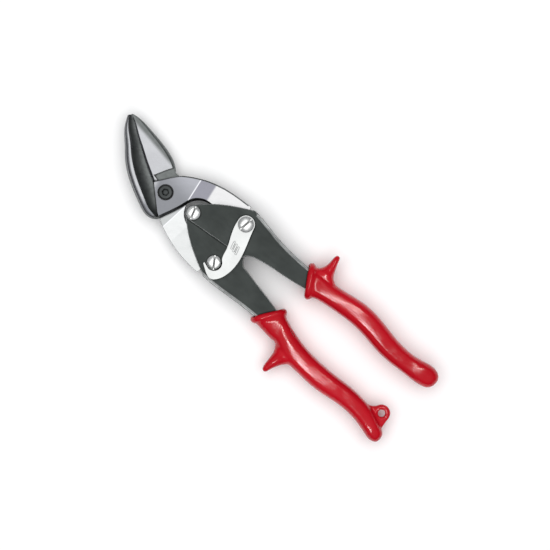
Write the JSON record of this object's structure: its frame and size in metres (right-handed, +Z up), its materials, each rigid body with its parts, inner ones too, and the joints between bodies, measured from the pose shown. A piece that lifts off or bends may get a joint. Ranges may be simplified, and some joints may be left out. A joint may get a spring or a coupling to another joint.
{
  "type": "aviation snips",
  "caption": "Compound-action offset aviation snips with forged blades, pressed channel handles, hook latch and moulded vinyl grips with thumb guards",
  "frame": {"origin": "bottom centre of the tool's box, with the tool lying closed on its nut side, latch side up", "axes": "+Y along the tool from the grips to the jaws, +X to the right handle, +Z up out of the latch side, along every pivot"},
  "size_m": [0.0824, 0.2458, 0.0233],
  "materials": {
    "blade": "polished forged steel",
    "handle": "satin gunmetal plating on pressed steel",
    "grip": "glossy dip-moulded vinyl",
    "dark_bolt": "black oxide",
    "bright_zinc": "bright zinc or nickel plating",
    "plain_zinc": "zinc plating",
    "spring": "drawn spring wire"
  },
  "bodies": {
    "right_handle": {"right_handle": "handle", "right_grip": "grip", "handle_pivot_screw": "bright_zinc", "handle_pivot_nut": "plain_zinc", "spring_sleeve": "plain_zinc", "return_spring": "spring", "latch_screw": "bright_zinc", "latch_screw_nut": "plain_zinc", "latch_washer": "bright_zinc", "right_tail_spacer_high": "plain_zinc", "right_tail_spacer_low": "plain_zinc"},
    "upper_blade": {"upper_blade": "blade", "blade_pivot_bolt": "dark_bolt", "blade_pivot_washer": "plain_zinc", "blade_pivot_nut": "plain_zinc"},
    "lower_blade": {"lower_blade": "blade"},
    "left_handle": {"left_handle": "handle", "left_grip": "grip", "catch_screw": "bright_zinc", "catch_screw_nut": "plain_zinc", "left_tail_spacer_high": "plain_zinc", "left_tail_spacer_low": "plain_zinc", "return_spring_left_leg": "spring"},
    "latch": {"latch": "bright_zinc"}
  },
  "joints": [
    {"name": "right_tail_pivot", "type": "hinge", "parent": "right_handle", "child": "upper_blade", "pos_m": [0.0197, 0.02579, 0.01105], "axis": [0, 0, -1], "range_deg": [0, 11.2]},
    {"name": "blade_pivot", "type": "hinge", "parent": "upper_blade", "child": "lower_blade", "pos_m": [0.00355, 0.07536, 0.01105], "axis": [0, 0, -1], "range_deg": [0, 24]},
    {"name": "left_tail_pivot", "type": "hinge", "parent": "lower_blade", "child": "left_handle", "pos_m": [-0.01, 0.02579, 0.01105], "axis": [0, 0, -1], "range_deg": [0, 9.9]},
    {"name": "latch_pivot", "type": "hinge", "parent": "right_handle", "child": "latch", "pos_m": [0.0197, 0.02579, 0.02005], "axis": [0, 0, 1], "range_deg": [0, 75]}
  ],
  "couplings": [
    {"joint": "right_tail_pivot", "follows": "blade_pivot", "ratio": 0.46392},
    {"joint": "left_tail_pivot", "follows": "blade_pivot", "ratio": 0.40926}
  ]
}
